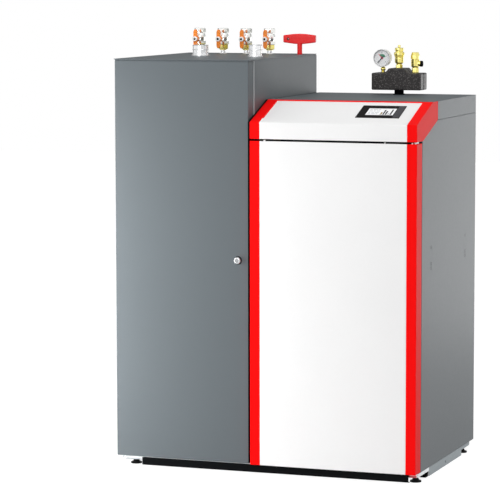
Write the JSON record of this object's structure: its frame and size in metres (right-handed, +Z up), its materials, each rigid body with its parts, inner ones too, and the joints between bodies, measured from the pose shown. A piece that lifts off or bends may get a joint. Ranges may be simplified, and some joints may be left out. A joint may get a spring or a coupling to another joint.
{
  "type": "pellet boiler",
  "caption": "Floor-standing pellet boiler beside a taller pellet store on a shared frame, with hinged doors, a sloping hood with a display, ball valves and a safety group on top.",
  "frame": {"origin": "on the floor, under the middle of the whole appliance", "axes": "+X to the boiler's side, +Y to the back, +Z up"},
  "size_m": [1.097, 0.8, 1.516],
  "materials": {
    "grey_paint": "satin powder coat",
    "white_paint": "satin powder coat",
    "red_paint": "satin powder coat",
    "black_paint": "matt powder coat",
    "galvanised": "zinc plated",
    "bare_steel": "rolled steel",
    "boiler_steel": "mill scale",
    "stainless": "stainless",
    "nickel": "nickel plated",
    "brass": "bright brass",
    "aluminium_cast": "die cast",
    "black_plastic": "moulded",
    "orange_plastic": "moulded",
    "red_plastic": "moulded",
    "white_plastic": "moulded",
    "screen_glass": "lit display",
    "foam": "expanded foam",
    "mineral_wool": "pressed fibre"
  },
  "bodies": {
    "cabinet": {"base_frame": "galvanised", "front_plinth": "black_paint", "levelling_feet": "black_plastic", "store_left_side_panel": "grey_paint", "store_right_side_panel": "grey_paint", "store_rear_panel": "grey_paint", "store_top_panel": "grey_paint", "door_hinge_pins": "galvanised", "pellet_hopper": "galvanised", "suction_turbine_housing": "black_plastic", "pellet_hose_spigot": "galvanised", "return_air_spigot": "galvanised", "auger_trough": "galvanised", "auger_gear_motor": "aluminium_cast", "heating_pipes": "galvanised", "circulation_pump": "boiler_steel", "boiler_left_side_panel": "grey_paint", "boiler_right_side_panel": "grey_paint", "boiler_rear_panel": "grey_paint", "boiler_lid": "grey_paint", "hood_frame": "red_paint", "hood_panel": "white_paint", "display_bezel": "black_plastic", "display_glass": "screen_glass", "control_box": "black_plastic", "boiler_shell": "boiler_steel", "boiler_insulation": "mineral_wool", "combustion_door": "boiler_steel", "ash_box": "galvanised", "burner_bowl": "stainless", "flue_fan_housing": "stainless", "flue_fan_motor": "aluminium_cast", "safety_manifold": "boiler_steel", "insulation_block": "foam", "gauge_case": "white_plastic", "air_vent_body": "brass", "safety_valve_body": "brass", "cable_gland": "black_plastic", "valve_body_1": "nickel", "valve_body_2": "nickel", "valve_body_3": "nickel", "valve_body_4": "nickel"},
    "store_door": {"store_door": "grey_paint", "lock_barrel": "nickel"},
    "lock_cam": {"lock_cam": "galvanised"},
    "boiler_door": {"door_panel": "white_paint", "door_left_trim": "red_paint", "door_right_trim": "red_paint"},
    "shutoff": {"shutoff_rod": "galvanised", "pull_handle": "red_plastic"},
    "suction_impeller": {"suction_turbine_impeller": "aluminium_cast"},
    "pellet_screw": {"auger_screw": "bare_steel"},
    "fan_impeller": {"flue_fan_impeller": "stainless"},
    "pointer": {"gauge_pointer": "black_plastic"},
    "vent_cap": {"air_vent_cap": "brass"},
    "relief_cap": {"safety_valve_cap": "brass"},
    "lever_1": {"valve_lever_1": "orange_plastic"},
    "lever_2": {"valve_lever_2": "orange_plastic"},
    "lever_3": {"valve_lever_3": "orange_plastic"},
    "lever_4": {"valve_lever_4": "orange_plastic"}
  },
  "joints": [
    {"name": "store_door_hinge", "type": "hinge", "parent": "cabinet", "child": "store_door", "pos_m": [-0.5335, -0.36, 0.734], "axis": [0, 0, -1], "range_deg": [0, 110]},
    {"name": "lock_turn", "type": "hinge", "parent": "store_door", "child": "lock_cam", "pos_m": [-0.0915, -0.346, 0.739], "axis": [0, 1, 0], "range_deg": [0, 90]},
    {"name": "boiler_door_hinge", "type": "hinge", "parent": "cabinet", "child": "boiler_door", "pos_m": [0.5365, -0.366, 0.594], "axis": [0, 0, 1], "range_deg": [0, 100]},
    {"name": "shutoff_pull", "type": "slide", "parent": "cabinet", "child": "shutoff", "axis": [0, 0, 1], "range_m": [0, 0.065]},
    {"name": "suction_spin", "type": "hinge", "parent": "cabinet", "child": "suction_impeller", "pos_m": [-0.1965, -0.056, 1.324], "axis": [0, 0, 1], "continuous": true},
    {"name": "screw_spin", "type": "hinge", "parent": "cabinet", "child": "pellet_screw", "pos_m": [0.0115, 0.17, 0.504], "axis": [1, 0, 0], "continuous": true},
    {"name": "fan_spin", "type": "hinge", "parent": "cabinet", "child": "fan_impeller", "pos_m": [0.424, 0.274, 0.594], "axis": [0, 1, 0], "continuous": true},
    {"name": "pointer_turn", "type": "hinge", "parent": "cabinet", "child": "pointer", "pos_m": [0.223, 0.252, 1.4135], "axis": [0, 1, 0], "range_deg": [0, 260]},
    {"name": "vent_cap_turn", "type": "hinge", "parent": "cabinet", "child": "vent_cap", "pos_m": [0.283, 0.269, 1.454], "axis": [0, 0, 1], "range_deg": [0, 360]},
    {"name": "relief_cap_turn", "type": "hinge", "parent": "cabinet", "child": "relief_cap", "pos_m": [0.343, 0.269, 1.409], "axis": [0, 0, 1], "range_deg": [0, 90]},
    {"name": "valve_1_turn", "type": "hinge", "parent": "cabinet", "child": "lever_1", "pos_m": [-0.4815, 0.239, 1.478], "axis": [0, 1, 0], "range_deg": [0, 90]},
    {"name": "valve_2_turn", "type": "hinge", "parent": "cabinet", "child": "lever_2", "pos_m": [-0.391, 0.239, 1.478], "axis": [0, 1, 0], "range_deg": [0, 90]},
    {"name": "valve_3_turn", "type": "hinge", "parent": "cabinet", "child": "lever_3", "pos_m": [-0.3005, 0.239, 1.478], "axis": [0, 1, 0], "range_deg": [0, 90]},
    {"name": "valve_4_turn", "type": "hinge", "parent": "cabinet", "child": "lever_4", "pos_m": [-0.21, 0.239, 1.478], "axis": [0, 1, 0], "range_deg": [0, 90]}
  ]
}
